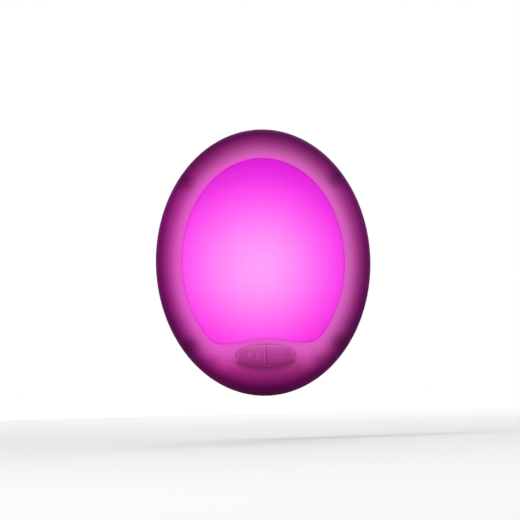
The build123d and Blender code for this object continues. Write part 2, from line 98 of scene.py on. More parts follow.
def paint(name, description, *channels):
    """A colour as it looks on the screen, from three numbers up to 255."""
    return bpy.props.FloatVectorProperty(
        name=name,
        description=description,
        default=screen(*channels),
        size=3,
        min=0,
        max=1,
        subtype="COLOR_GAMMA",
    )


class NIGHTLIGHT_PG_body(bpy.types.PropertyGroup):
    half_width: measure("Half width", "Middle to side", (rear_high.x - rear_low.x) / 2)
    half_height: measure("Half height", "Middle to top", (rear_high.z - rear_low.z) / 2)
    middle_height: measure("Middle", "Height of the middle", (rear_high.z + rear_low.z) / 2)
    split_out: measure("Parting line", "From the wall to the parting line", 0.02)
    front_depth: measure("Front depth", "From the parting line to the apex", 0.02)
    rim_radius: measure("Rim radius", "Of the rounded rim", 0.016)
    wall: measure("Wall", "Thickness of the bezel", 0.002)
    parting_gap: measure("Parting gap", "Between the two shells", 0.0002)
    edge_radius: measure("Edge radius", "Of the moulded edges", 0.0003)


class NIGHTLIGHT_PG_window(bpy.types.PropertyGroup):
    half_width: measure("Half width", "Of the opening", 0.0397)
    half_height: measure("Half height", "Middle to top", 0.0506)
    wave_top: measure("Wave top", "Middle to the lower edge's crest", 0.0373)
    wave_drop: measure("Wave drop", "Crest to troughs", 0.0024)
    trough_offset: measure("Trough offset", "Middle to each trough", 0.019)
    corner_radius: measure("Corner radius", "Of the lower corners", 0.008)
    gap: measure("Gap", "Between the opening and the window", 0.00015)
    recess: measure("Recess", "Of the window behind the bezel's face", 0.0003)
    thickness: measure("Thickness", "Of the window", 0.0014)
    flange: measure("Flange", "Beyond the opening", 0.0014)
    flange_gap: measure("Flange gap", "From the bezel", 0.0001)


class NIGHTLIGHT_PG_buttons(bpy.types.PropertyGroup):
    width: measure("Width", "Of the oval opening", 0.0298)
    height: measure("Height", "Of the oval opening", 0.0102)
    drop: measure("Drop", "Body's middle to the oval's", 0.045)
    split: measure("Split", "Between the two caps", 0.0005)
    split_offset: measure("Split offset", "Oval's middle to the split's", 0.00045)
    gap: measure("Gap", "Between the opening and the caps", 0.00025)
    rise: measure("Rise", "Of the caps above the bezel's face", 0.0003)
    thickness: measure("Thickness", "Of a cap", 0.001)
    ledge_depth: measure("Ledge depth", "Behind the cap's face", 0.0007)
    ledge_gap: measure("Ledge gap", "From the opening", 0.00007)
    flange: measure("Flange", "Beyond the opening", 0.0009)
    flange_gap: measure("Flange gap", "From the bezel", 0.0006)
    edge_radius: measure("Edge radius", "Rounding of a cap's edge", 0.0003)
    stem_offset: measure("Stem offset", "Oval's middle to each stem", 0.0075)
    stem_radius: measure("Stem radius", "Of each stem", 0.0018)
    stem_out: measure("Stem end", "From the wall to the stem's end", 0.03105)
    symbol_height: measure("Symbol height", "Of the raised symbols", 0.0002)
    symbol_corner: measure("Symbol corner", "Rounding of the symbols' corners", 0.0002)


# Glow colours: part of each is also painted into the surface colour, so the bezel carries painted
# light by the window and painted shade at the rim.
class NIGHTLIGHT_PG_glow(bpy.types.PropertyGroup):
    window_middle: paint("Window middle", "Its brightest place", 255, 161, 250)
    window_half: paint("Window half way", "Between its middle and its edge", 255, 114, 246)
    window_edge: paint("Window edge", "Close to its edge", 252, 69, 238)
    window_top: paint("Window top", "Far from the lights", 225, 33, 220)
    bezel_inner: paint("Bezel inside", "Close to the window", 218, 96, 192)
    bezel_half: paint("Bezel half way", "Between the window and the rim", 155, 46, 128)
    bezel_rim: paint("Bezel rim", "At the rim", 98, 6, 84)
    # The caps glow and are painted lighter at the top, near the window's light, and darker low
    # down.
    cap_top: paint("Cap top", "Upper edge", 210, 93, 182)
    cap_middle: paint("Cap middle", "Half way up", 175, 60, 141)
    cap_bottom: paint("Cap bottom", "Lower edge", 140, 38, 110)
    # The rear shell's white plastic is painted dark mauve, standing in for the lamp's magenta
    # light in a dark room.
    rear: paint("Rear shell", "Unlit colour", 92, 26, 79)


class NIGHTLIGHT_PG_stage(bpy.types.PropertyGroup):
    floor_drop: measure("Floor drop", "Below the light", 0.022)
    floor_radius: measure("Floor radius", "Of the round floor", 1.6)
    camera_distance: measure("Camera distance", "To the rim", 2.6)
    field_width: measure("Field width", "Across the picture at the rim", 0.2544)
    camera_roll: measure("Camera roll", "About its line of sight", math.radians(1.45), "ROTATION")
    camera_rise: measure("Camera rise", "Above the light", math.radians(-1.2), "ROTATION")


# Forms of the body


class FrontForm:
    """The front surface, moved inwards by inset: a rim arc that runs into a shallow crown."""

    def __init__(self, body, inset=0.0):
        edge = body.half_width - inset
        rise = body.front_depth - inset
        self.stretch = (body.half_height - inset) / edge
        self.rim = body.rim_radius - inset
        self.middle = edge - self.rim
        self.crown = (self.middle**2 + rise**2 - self.rim**2) / (2 * (rise - self.rim))
        self.turn = math.asin(self.middle / (self.crown - self.rim))
        self.crown_run = self.crown * self.turn
        self.base = body.split_out
        self.apex = self.base + rise
        self.height = body.middle_height

    def run_at(self, x, z):
        """Run along the surface from its apex to the point in front of (x, z)."""
        across = math.hypot(x, z / self.stretch)
        if across <= self.crown * math.sin(self.turn):
            return self.crown * math.asin(across / self.crown)
        lean = math.asin(min(1.0, (across - self.middle) / self.rim))
        return self.crown_run + self.rim * (lean - self.turn)

    def run_to(self, out):
        """Run from the apex to where the rim is at a distance out from the wall."""
        return self.crown_run + self.rim * (math.acos((out - self.base) / self.rim) - self.turn)

    def point(self, heading, run):
        """Point of the surface at a heading round the axis and a run from the apex."""
        if run <= self.crown_run:
            lean = run / self.crown
            across = self.crown * math.sin(lean)
            out = self.apex - self.crown * (1 - math.cos(lean))
        else:
            lean = self.turn + (run - self.crown_run) / self.rim
            across = self.middle + self.rim * math.sin(lean)
            out = self.base + self.rim * math.cos(lean)
        height = self.height + self.stretch * across * math.sin(heading)
        return Vector((across * math.cos(heading), -out, height))

    def over(self, x, z):
        """Point of the surface in front of (x, z)."""
        return self.point(math.atan2(z / self.stretch, x), self.run_at(x, z))


def sweep_of(start, end, steps):
    """Even steps from start towards end, without the end."""
    return [start + (end - start) * step / steps for step in range(steps)]


def arc(centre, radius, start, end, steps=160):
    """Points along an arc, without its last one."""
    x, z = centre
    sweep = sweep_of(start, end, steps)
    return [(x + radius * math.cos(a), z + radius * math.sin(a)) for a in sweep]


def evenly(points, count):
    """Closed outline divided anew into equal steps from its first point."""
    ends = points[1:] + points[:1]
    steps = [math.dist(a, b) for a, b in zip(points, ends)]
    step = sum(steps) / count
    found, index, passed = [], 0, 0.0
    for number in range(count):
        target = number * step
        while passed + steps[index] < target:
            passed += steps[index]
            index += 1
        share = (target - passed) / steps[index]
        (ax, az), (bx, bz) = points[index], ends[index]
        found.append((ax + share * (bx - ax), az + share * (bz - az)))
    return found


def window_outline(window, grow, count):
    """Outline of the window, clockwise from its top: an oval, two round corners and a wave. The
    corner that rolls along the oval meets the wave's trough at one angle, found by halving."""
    wide, high = window.half_width + grow, window.half_height + grow
    sweep = 2 * math.atan(window.wave_drop / window.trough_offset)
    bend = window.trough_offset / 2 / math.sin(sweep)
    trough = Vector((window.trough_offset, bend - window.wave_top - window.wave_drop))
    corner = window.corner_radius + grow

    def corner_place(angle):
        on_oval = Vector((wide * math.cos(angle), high * math.sin(angle)))
        normal = Vector((math.cos(angle) / wide, math.sin(angle) / high)).normalized()
        return on_oval - corner * normal, normal

    below, above, halvings = math.radians(-80), math.radians(-10), 60
    for _ in range(halvings):
        angle = (below + above) / 2
        place, normal = corner_place(angle)
        if (place - trough).length > bend - window.corner_radius:
            below = angle
        else:
            above = angle
    to_corner = math.atan2(*(place - trough).yx)
    oval_steps = sweep_of(math.pi / 2, angle, 400)
    right = [(wide * math.cos(a), high * math.sin(a)) for a in oval_steps]
    right += arc(place, corner, math.atan2(*normal.yx), to_corner)
    right += arc(trough, bend + grow, to_corner, -math.pi / 2 - sweep)
    crest = (0, -window.wave_top - bend)
    right += arc(crest, bend - grow, math.pi / 2 - sweep, math.pi / 2)
    right.append((0, -window.wave_top - grow))
    left = [(-x, z) for x, z in reversed(right[1:-1])]
    return evenly(right + left, count)


def rectangle(x, z, wide, high):
    """Corners of a rectangle about (x, z)."""
    corners = ((-1, -1), (1, -1), (1, 1), (-1, 1))
    return [(x + across * wide / 2, z + up * high / 2) for across, up in corners]


# Modelling steps


def pick(piece):
    """Leaves only this piece selected and active."""
    bpy.ops.object.select_all(action="DESELECT")
    piece.select_set(True)
    bpy.context.view_layer.objects.active = piece


def named(name):
    """Names the new active object and its data."""
    piece = bpy.context.active_object
    piece.name = piece.data.name = name
    return piece


def added(name, operator, **settings):
    """Adds an object with nothing else selected, and names it."""
    bpy.ops.object.select_all(action="DESELECT")
    operator(**settings)
    return named(name)


class Shaping:
    """A piece in edit mode, with nothing selected at first."""

    def __init__(self, piece, mode="VERT"):
        self.piece, self.mode = piece, mode

    def __enter__(self):
        pick(self.piece)
        bpy.ops.object.mode_set(mode="EDIT")
        bpy.ops.mesh.select_mode(type=self.mode)
        bpy.ops.mesh.select_all(action="DESELECT")
        return self

    def __exit__(self, *_):
        bpy.ops.object.mode_set(mode="OBJECT")

    @property
    def mesh(self):
        return bmesh.from_edit_mesh(self.piece.data)

    def select(self, kind, test):
        """Selects the vertices, edges or faces that pass a test."""
        mesh = self.mesh
        for element in getattr(mesh, kind):
            if test(element):
                element.select_set(True)
        mesh.select_flush_mode()
        bmesh.update_edit_mesh(self.piece.data)

    def move(self, place, selected=False):
        """Moves every vertex, or each selected one, to where place puts it."""
        mesh = self.mesh
        for vertex in mesh.verts:
            if vertex.select or not selected:
                vertex.co = place(vertex.co)
        bmesh.update_edit_mesh(self.piece.data)

    def spread_selected(self, outwards, limit):
        """Moves the selected loop outwards, in planes along the wall, and keeps it in a limit."""
        mesh = self.mesh
        loop = [vertex for vertex in mesh.verts if vertex.select]
        middle = sum((vertex.co for vertex in loop), Vector()) / len(loop)
        places = []
        for vertex in loop:
            one, two = (e.other_vert(vertex).co for e in vertex.link_edges if e.select)
            along = one - two
            normal = Vector((along.z, 0, -along.x)).normalized()
            if normal.dot(vertex.co - middle) < 0:
                normal.negate()
            places.append(limit(vertex.co.copy(), vertex.co + outwards * normal))
        for vertex, place in zip(loop, places):
            vertex.co = place
        bmesh.update_edit_mesh(self.piece.data)

    def weld(self):
        """Selects everything and merges the vertices that meet."""
        bpy.ops.mesh.select_all(action="SELECT")
        bpy.ops.mesh.remove_doubles(threshold=MERGE)

    def face_out(self):
        """Turns every face outwards."""
        bpy.ops.mesh.select_all(action="SELECT")
        bpy.ops.mesh.normals_make_consistent(inside=False)


def modify(piece, kind, **settings):
    """Adds a modifier and applies it."""
    pick(piece)
    bpy.ops.object.modifier_add(type=kind)
    modifier = piece.modifiers[-1]
    for key, value in settings.items():
        setattr(modifier, key, value)
    bpy.ops.object.modifier_apply(modifier=modifier.name)


def thicken(piece, thickness, even=True):
    """Gives a sheet its wall, inwards from its face, as thick at its bends when even."""
    with Shaping(piece) as shape:
        shape.face_out()
    modify(piece, "SOLIDIFY", thickness=thickness, offset=-1, use_even_offset=even)


def ease(piece, width, segments=3):
    """Rounds the sharp edges, if by a width, and smooths the rest."""
    if width:
        limits = {"limit_method": "ANGLE", "angle_limit": SHARP, "use_clamp_overlap": True}
        modify(piece, "BEVEL", width=width, segments=segments, **limits)
    pick(piece)
    bpy.ops.object.shade_smooth_by_angle(angle=SHARP)


def coat(piece, material):
    """Gives a piece one finish."""
    piece.data.materials.clear()
    piece.data.materials.append(material)


def placed(piece, node, body):
    """Lets a piece stand for a CAD node, which it hides, on a body."""
    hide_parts(node)
    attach(piece, body)


def sheet(name, turns, rings, place, opening=None):
    """A grid bent into a ring. Columns run round it, rows run outwards, and place gives the point
    of each crossing. An opening leaves out the cells from a first to a last column and row."""
    grid = bpy.ops.mesh.primitive_grid_add
    piece = added(name, grid, x_subdivisions=turns, y_subdivisions=rings, size=1)

    def crossing(point):
        return (point.x + 0.5) * turns, (point.y + 0.5) * rings

    if opening:
        first, last, inner, outer = opening
        with Shaping(piece, "FACE") as shape:

            def inside(face):
                column, row = crossing(face.calc_center_median())
                return first < column < last and inner < row < outer

            shape.select("faces", inside)
            bpy.ops.mesh.delete(type="FACE")
        group = piece.vertex_groups.new(name="opening")
        edge = []
        for vertex in piece.data.vertices:
            column, row = (round(value) for value in crossing(vertex.co))
            if first <= column <= last and inner <= row <= outer:
                edge.append(vertex.index)
        group.add(edge, 1.0, "REPLACE")
    with Shaping(piece) as shape:

        def put(point):
            column, row = (round(value) for value in crossing(point))
            return place(column % turns, row)

        shape.move(put)
        shape.weld()
    return piece


def front_bezel(body, window, buttons, material):
    """Front shell: a ring of cells from the window's edge to the parting line. The block of cells
    round the buttons is left out, and steps of new cells lead from there to their oval."""
    turns, rings, steps = 400, 30, 4
    block_half_width, block_rows = 17.8 * MM, (1, 13)
    form = FrontForm(body)
    outline = window_outline(window, 0, turns)
    last_run = form.run_to(body.split_out + body.parting_gap)

    def place(column, row):
        x, z = outline[column]
        run = form.run_at(x, z)
        heading = math.atan2(z / form.stretch, x)
        return form.point(heading, run + (last_run - run) * row / rings)

    columns = [n for n, (x, z) in enumerate(outline) if z < 0 and abs(x) < block_half_width]
    block = (columns[0], columns[-1], *block_rows)
    shell = sheet("frosted_bezel", turns, rings, place, block)
    wide, high = buttons.width / 2, buttons.height / 2
    with Shaping(shell) as shape:
        mesh = shape.mesh
        layer = mesh.verts.layers.deform.active

        def at_opening(edge):
            return edge.is_boundary and all(0 in vertex[layer] for vertex in edge.verts)

        shape.select("edges", at_opening)
        for step in range(steps):

            def towards_oval(point):
                x, z = point.x, point.z - body.middle_height + buttons.drop
                reach, share = 1 / math.hypot(x / wide, z / high), 1 / (steps - step)
                x, z = x + share * (x * reach - x), z + share * (z * reach - z)
                return form.over(x, z - buttons.drop)

            bpy.ops.mesh.extrude_edges_move()
            shape.move(towards_oval, selected=True)
    shell.vertex_groups.clear()
    face_count = len(shell.data.vertices)
    thicken(shell, body.wall)
    straighten(shell, face_count, body)
    ease(shell, body.edge_radius)
    coat(shell, material)
    placed(shell, "front_bezel", "root")


def straighten(shell, face_count, body):
    """Puts the inside of the shell's front straight behind its face, so that its openings have
    straight walls. The inside's vertices follow those of the face in the same order."""
    inside = FrontForm(body, body.wall)
    from_out, to_out = 30 * MM, 34 * MM
    with Shaping(shell) as shape:
        mesh = shape.mesh
        mesh.verts.ensure_lookup_table()
        for index in range(face_count):
            front, back = mesh.verts[index].co, mesh.verts[index + face_count]
            share = min(1, max(0, (-front.y - from_out) / (to_out - from_out)))
            if share:
                straight = inside.over(front.x, front.z - body.middle_height)
                back.co = back.co.lerp(straight, share)
        bmesh.update_edit_mesh(shell.data)


def opal_window(body, window, material):
    """Window: a crowned disc just below the bezel's face, with a flange behind the bezel."""
    turns, rings = 240, 24
    form = FrontForm(body, window.recess)
    outline = window_outline(window, -window.gap, turns)

    def place(column, row):
        x, z = outline[column]
        return form.over(x * row / rings, z * row / rings)

    inside = FrontForm(body, body.wall)

    def behind_bezel(_, end):
        on_inside = inside.over(end.x, end.z - body.middle_height)
        return on_inside + Vector((0, window.flange_gap, 0))

    disc = sheet("opal_window", turns, rings, place)
    skirt = body.wall - window.recess + 2 * window.flange_gap
    step_back(disc, ((skirt, 0), (0, window.flange + window.gap)), behind_bezel)
    thicken(disc, window.thickness)
    ease(disc, body.edge_radius)
    coat(disc, material)
    placed(disc, "diffuser_window", "root")


def step_back(piece, steps, limit):
    """Extrudes the open edge of a sheet in steps, each so far back and so far outwards."""
    with Shaping(piece) as shape:
        shape.select("edges", lambda edge: edge.is_boundary)
        for back, outwards in steps:
            bpy.ops.mesh.extrude_edges_move(TRANSFORM_OT_translate={"value": (0, back, 0)})
            if outwards:
                shape.spread_selected(outwards, limit)
        shape.weld()


def cap_outline(buttons, side):
    """Outline of one cap about the oval's middle: half an oval and the straight split."""
    wide, high = buttons.width / 2 - buttons.gap, buttons.height / 2 - buttons.gap
    split = buttons.split / 2 + side * buttons.split_offset
    end = math.acos(split / wide)
    top = high * math.sin(end)
    round_steps, straight_steps = sweep_of(end, -end, 110), sweep_of(-top, top, 30)
    points = [(side * wide * math.cos(a), high * math.sin(a)) for a in round_steps]
    return points + [(side * split, z) for z in straight_steps]


def button_cap(name, side, body, buttons, material):
    """One cap: a face that follows the bezel, a ledge round it and a flange behind the bezel."""
    outline = cap_outline(buttons, side)
    turns, rings = len(outline), 12
    form = FrontForm(body, -buttons.rise)
    middle = side * buttons.width / 5

    def place(column, row):
        x, z = outline[column]
        share = row / rings
        return form.over(middle + (x - middle) * share, z * share - buttons.drop)

    def own_side(start, end):
        """Keeps a vertex off the split, and still once it stands there."""
        offset, gap = buttons.split_offset, buttons.ledge_gap
        if side * (end.x - offset) > gap:
            return end
        if side * (start.x - offset) < gap + MERGE:
            return start
        return Vector((offset + side * gap, end.y, end.z))

    steps = (
        (buttons.ledge_depth, 0),
        (0, buttons.gap - buttons.ledge_gap),
        (buttons.rise + body.wall + buttons.flange_gap - buttons.ledge_depth, 0),
        (0, buttons.flange + buttons.ledge_gap),
    )
    cap = sheet(name, turns, rings, place)
    step_back(cap, steps, own_side)
    thicken(cap, buttons.thickness, even=False)
    ease(cap, buttons.edge_radius, 4)
    coat(cap, material)
    return cap


def cap_stem(name, side, body, buttons, material):
    """Round stem inside a cap, with an eased end."""
    x, drop = side * buttons.stem_offset, buttons.drop
    top = -FrontForm(body).over(x, -drop).y - buttons.thickness / 2
    stem = added(
        name,
        bpy.ops.mesh.primitive_cylinder_add,
        vertices=40,
        radius=buttons.stem_radius,
        depth=top - buttons.stem_out,
        location=(x, -(top + buttons.stem_out) / 2, body.middle_height - drop),
        rotation=(math.pi / 2, 0, 0),
    )
    bpy.ops.object.transform_apply(location=True, rotation=True, scale=False)
    ease(stem, buttons.edge_radius)
    coat(stem, material)
    return stem


def relief(name, outline, body, buttons, material):
    """A raised mark with round corners, draped over the caps' face."""
    circle = bpy.ops.mesh.primitive_circle_add
    mark = added(name, circle, vertices=len(outline), radius=MM, fill_type="NGON")
    for vertex, (x, z) in zip(mark.data.vertices, outline):
        vertex.co = (x, 0, z)
    depth = buttons.symbol_height + buttons.rise
    with Shaping(mark) as shape:

        def sharp(vertex):
            one, two = (edge.other_vert(vertex).co - vertex.co for edge in vertex.link_edges)
            return one.angle(two) < math.pi - SHARP

        shape.select("verts", sharp)
        bpy.ops.mesh.bevel(affect="VERTICES", offset=buttons.symbol_corner, segments=4)
        bpy.ops.mesh.select_all(action="SELECT")
        bpy.ops.mesh.extrude_region_move(TRANSFORM_OT_translate={"value": (0, depth, 0)})
        shape.face_out()
    ease(mark, buttons.symbol_height / 2)
    form = FrontForm(body, -buttons.rise - buttons.symbol_height)
    with Shaping(mark) as shape:

        def drape(point):
            on_form = form.over(point.x, point.z - buttons.drop)
            return on_form + Vector((0, point.y, 0))

        shape.move(drape)
    coat(mark, material)
    return mark


def play_pause_marks(body, buttons, material):
    """A play triangle and the two bars of pause."""
    play, play_wide, play_high = -7.2 * MM, 2.6 * MM, 4.3 * MM
    pause, pitch, bar_wide, bar_high = -3.4 * MM, 1.4 * MM, 0.85 * MM, 4.5 * MM
    back, tip = play - play_wide / 2, play + play_wide / 2
    triangle = [(back, -play_high / 2), (tip, 0), (back, play_high / 2)]
    marks = [relief("play_mark", triangle, body, buttons, material)]
    for number, side in enumerate((-1, 1)):
        bar = rectangle(pause + side * pitch / 2, 0, bar_wide, bar_high)
        marks.append(relief(f"pause_mark_{number}", bar, body, buttons, material))
    return marks


def power_marks(body, buttons, material):
    """An open ring with an upright bar in its mouth."""
    middle, radius, stroke = 6.6 * MM, 2.4 * MM, 0.6 * MM
    mouth, steps = math.radians(35), 40
    bar_high, bar_lift = 2.4 * MM, 1.3 * MM
    start, end = math.pi / 2 + mouth, math.pi * 5 / 2 - mouth
    outer, inner = (
        arc((middle, 0), size, start, end + (end - start) / steps, steps + 1)
        for size in (radius, radius - stroke)
    )
    bar = rectangle(middle, bar_lift, stroke, bar_high)
    return [
        relief("power_ring", outer + inner[::-1], body, buttons, material),
        relief("power_bar", bar, body, buttons, material),
    ]


def softened_copy(name, node, width=0.0):
    """A merged copy of a CAD node, with its flat faces joined and its edges eased."""
    pick(frame["nodes"][node])
    bpy.ops.object.duplicate()
    piece = named(name)
    bpy.ops.object.parent_clear(type="CLEAR_KEEP_TRANSFORM")
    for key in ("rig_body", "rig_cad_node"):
        del piece[key]
    bpy.ops.mesh.customdata_custom_splitnormals_clear()
    with Shaping(piece) as shape:
        shape.weld()
        bpy.ops.mesh.dissolve_limited(angle_limit=math.radians(0.5))
    ease(piece, width, 2)
    return piece


# Finishes


def linear(colour):
    """Linear light of a screen colour."""
    return [c / 12.92 if c <= 0.04045 else ((c + 0.055) / 1.055) ** 2.4 for c in colour]


class Number:
    """A shader value that takes part in Python sums."""

    def __init__(self, nodes, socket):
        self.nodes, self.socket = nodes, socket

    def math(self, operation, *values):
        inputs = dict(enumerate(values))
        made = self.nodes.node("ShaderNodeMath", inputs, operation=operation)
        return Number(self.nodes, made.outputs[0])

    def __add__(self, other):
        return self.math("ADD", self, other)

    __radd__ = __add__

    def __sub__(self, other):
        return self.math("SUBTRACT", self, other)

    def __rsub__(self, other):
        return self.math("SUBTRACT", other, self)

    def __mul__(self, other):
        return self.math("MULTIPLY", self, other)

    __rmul__ = __mul__

    def __truediv__(self, other):
        return self.math("DIVIDE", self, other)

    def __rtruediv__(self, other):
        return self.math("DIVIDE", other, self)

    def larger(self, other, blend):
        """The larger one of two numbers, with a soft change from one to the other."""
        return self.math("SMOOTH_MAX", self, other, blend)

    def root(self):
        return self.math("SQRT", self)

    def reach(self, other):
        """Length of the line with these two numbers as its sides."""
        return (self * self + other * other).root()

    def fade(self, start, end):
        """Smooth step from 0 at start to 1 at end."""
        inputs = {"Value": self, "From Min": start, "From Max": end}
        made = self.nodes.node("ShaderNodeMapRange", inputs, interpolation_type="SMOOTHSTEP")
        return Number(self.nodes, made.outputs[0])


class Nodes:
    """The nodes of a material or a world."""

    def __init__(self, owner):
        owner.use_nodes = True
        self.tree = owner.node_tree
        self.tree.nodes.clear()

    def node(self, kind, inputs=None, **settings):
        """Adds a node, with its settings first and then the values or links of its sockets."""
        made = self.tree.nodes.new(kind)
        for key, value in settings.items():
            setattr(made, key, value)
        for key, value in (inputs or {}).items():
            self.feed(made.inputs[key], value)
        return made

    def feed(self, socket, value):
        """Links a socket, or sets its constant."""
        if isinstance(value, Number):
            value = value.socket
        if isinstance(value, bpy.types.NodeSocket):
            self.tree.links.new(value, socket)
        else:
            socket.default_value = value


class Finish(Nodes):
    """A material: one shader, and the nodes that feed it."""

    def __init__(self, name, **constants):
        self.material = bpy.data.materials.new(name)
        super().__init__(self.material)
        self.shader = self.node("ShaderNodeBsdfPrincipled")
        self.set(**constants)
        self.node("ShaderNodeOutputMaterial", {"Surface": self.shader.outputs[0]})

    def set(self, **inputs):
        """Feeds the shader's own sockets."""
        for key, value in inputs.items():
            socket = key.replace("_", " ").title().replace("Ior", "IOR")
            self.feed(self.shader.inputs[socket], value)

    def position(self):
        """Object coordinates."""
        return self.node("ShaderNodeTexCoord").outputs["Object"]

    def across_and_up(self, body):
        """Millimetres to the right of the body's middle, and above it."""
        parts = self.node("ShaderNodeSeparateXYZ", {0: self.position()}).outputs
        across, up = Number(self, parts["X"]), Number(self, parts["Z"])
        return across / MM, up / MM - body.middle_height / MM

    def over_caps(self, body, buttons):
        """Millimetres across and up from the middle of the caps' oval, and its half sizes."""
        across, up = self.across_and_up(body)
        wide, high = buttons.width / MM / 2, buttons.height / MM / 2
        return across, up + buttons.drop / MM, wide, high

    def ramp(self, value, stops):
        """Colour from a ramp of (place, colour) stops."""
        made = self.node("ShaderNodeValToRGB", {0: value})
        elements = made.color_ramp.elements
        while len(elements) < len(stops):
            elements.new(0.5)
        for element, (place, colour) in zip(elements, stops):
            element.position = place
            element.color = (*colour, 1)
        return made.outputs["Color"]

    def level(self, value, stops):
        """Number from a ramp of (place, number) stops."""
        grey = self.ramp(value, [(place, [number] * 3) for place, number in stops])
        return Number(self, self.node("ShaderNodeSeparateColor", {0: grey}).outputs[0])

    def tint(self, share, colour):
        """White where the share is 0, and a colour where it is 1."""
        return self.mixed(share, (1, 1, 1), colour)

    def light_up(self, share, stops, factor, *tints):
        """Glow, and painted light and shade in the surface colour, from stops of (place, colour,
        painted part) along a share, times a number and some tints."""
        times = "ShaderNodeVectorMath"
        for socket, glows in (("base_color", False), ("emission_color", True)):
            ramp = []
            for place, colour, painted_share in stops:
                part = 1 - painted_share if glows else painted_share
                ramp.append((place, [channel * part for channel in linear(colour)]))
            colour = self.ramp(share, ramp)
            for tint in tints:
                inputs = {0: colour, 1: tint}
                colour = self.node(times, inputs, operation="MULTIPLY").outputs[0]
            inputs = {0: colour, "Scale": factor}
            self.set(**{socket: self.node(times, inputs, operation="SCALE").outputs[0]})

    def mixed(self, share, first, second):
        """Mix of two colours."""
        made = self.node("ShaderNodeMix", {0: share}, data_type="RGBA")
        for index, colour in ((6, first), (7, second)):
            if not isinstance(colour, bpy.types.NodeSocket):
                colour = (*colour, 1)
            self.feed(made.inputs[index], colour)
        return made.outputs[2]

    def noise(self, scale, detail=2.0, stretch=None):
        """Noise value, at a scale in spots a metre."""
        vector = self.position()
        if stretch:
            vector = self.node("ShaderNodeMapping", {0: vector, "Scale": stretch}).outputs[0]
        inputs = {"Vector": vector, "Scale": scale, "Detail": detail}
        return Number(self, self.node("ShaderNodeTexNoise", inputs).outputs[0])

    def bump(self, height, strength, distance):
        """Surface relief from a height."""
        inputs = {"Height": height, "Strength": strength, "Distance": distance}
        self.set(normal=self.node("ShaderNodeBump", inputs).outputs["Normal"])


def between(first, second, share):
    """Colour part of the way from one to another."""
    return [a + share * (b - a) for a, b in zip(first, second)]


def satin(name, roughness):
    """Shader of frosted plastic with a fine grain."""
    finish = Finish(name, specular_ior_level=0.015, emission_strength=1.0)
    finish.bump(finish.noise(2600, 3.0), 0.06, 0.04 * MM)
    finish.set(roughness=roughness - 0.05 + 0.1 * finish.noise(180))
    return finish


def beyond_window(across, up, window):
    """Millimetres from the window's edge, less than 0 inside it."""
    oval = from_oval(across, up, window.half_width / MM, window.half_height / MM)
    half_drop, turn = window.wave_drop / MM / 2, math.pi / (window.trough_offset / MM)
    wave = half_drop * across.math("COSINE", across * turn)
    below = wave - half_drop - window.wave_top / MM - up
    return oval.larger(below, 1.5)


def from_oval(across, up, wide, high):
    """Distance from an oval about the origin, less than 0 inside it."""
    return across.reach(up) * (1 - 1 / (across / wide).reach(up / high))


def bezel_stops(glow):
    """Colours of the bezel, from the window at 0 to the rim at 1, each with its painted part:
    painted light by the window, painted shade at the rim.
    """
    inner, half, rim = glow.bezel_inner, glow.bezel_half, glow.bezel_rim
    return [
        (0.0, between(inner, glow.window_edge, 0.3), 0.35),
        (0.07, between(inner, glow.window_edge, 0.08), 0.4),
        (0.16, between(inner, half, 0.06), 0.42),
        (0.28, between(inner, half, 0.27), 0.45),
        (0.4, between(inner, half, 0.56), 0.5),
        (0.55, between(inner, half, 0.98), 0.55),
        (0.7, between(half, rim, 0.42), 0.6),
        (0.84, between(half, rim, 0.92), 0.7),
        (1.0, rim, 0.75),
    ]


# Light at the bezel's rim, from its lowest point to its highest
RIM_LIGHT = (
    (0.0, 0.2),
    (0.03, 0.38),
    (0.06, 0.52),
    (0.27, 0.54),
    (0.46, 0.77),
    (0.59, 0.88),
    (0.73, 1.0),
    (0.84, 0.85),
    (0.955, 0.75),
    (1.0, 0.69),
)


def paired(across, up, place, radius, change):
    """Factor of two soft spots, left and right of the middle, that change the light by a share."""
    core, factor = 0.5, 1.0
    for side in (-1, 1):
        distance = (across - side * place[0]).reach(up - place[1])
        factor = factor * (1 + change * distance.fade(radius, core))
    return factor


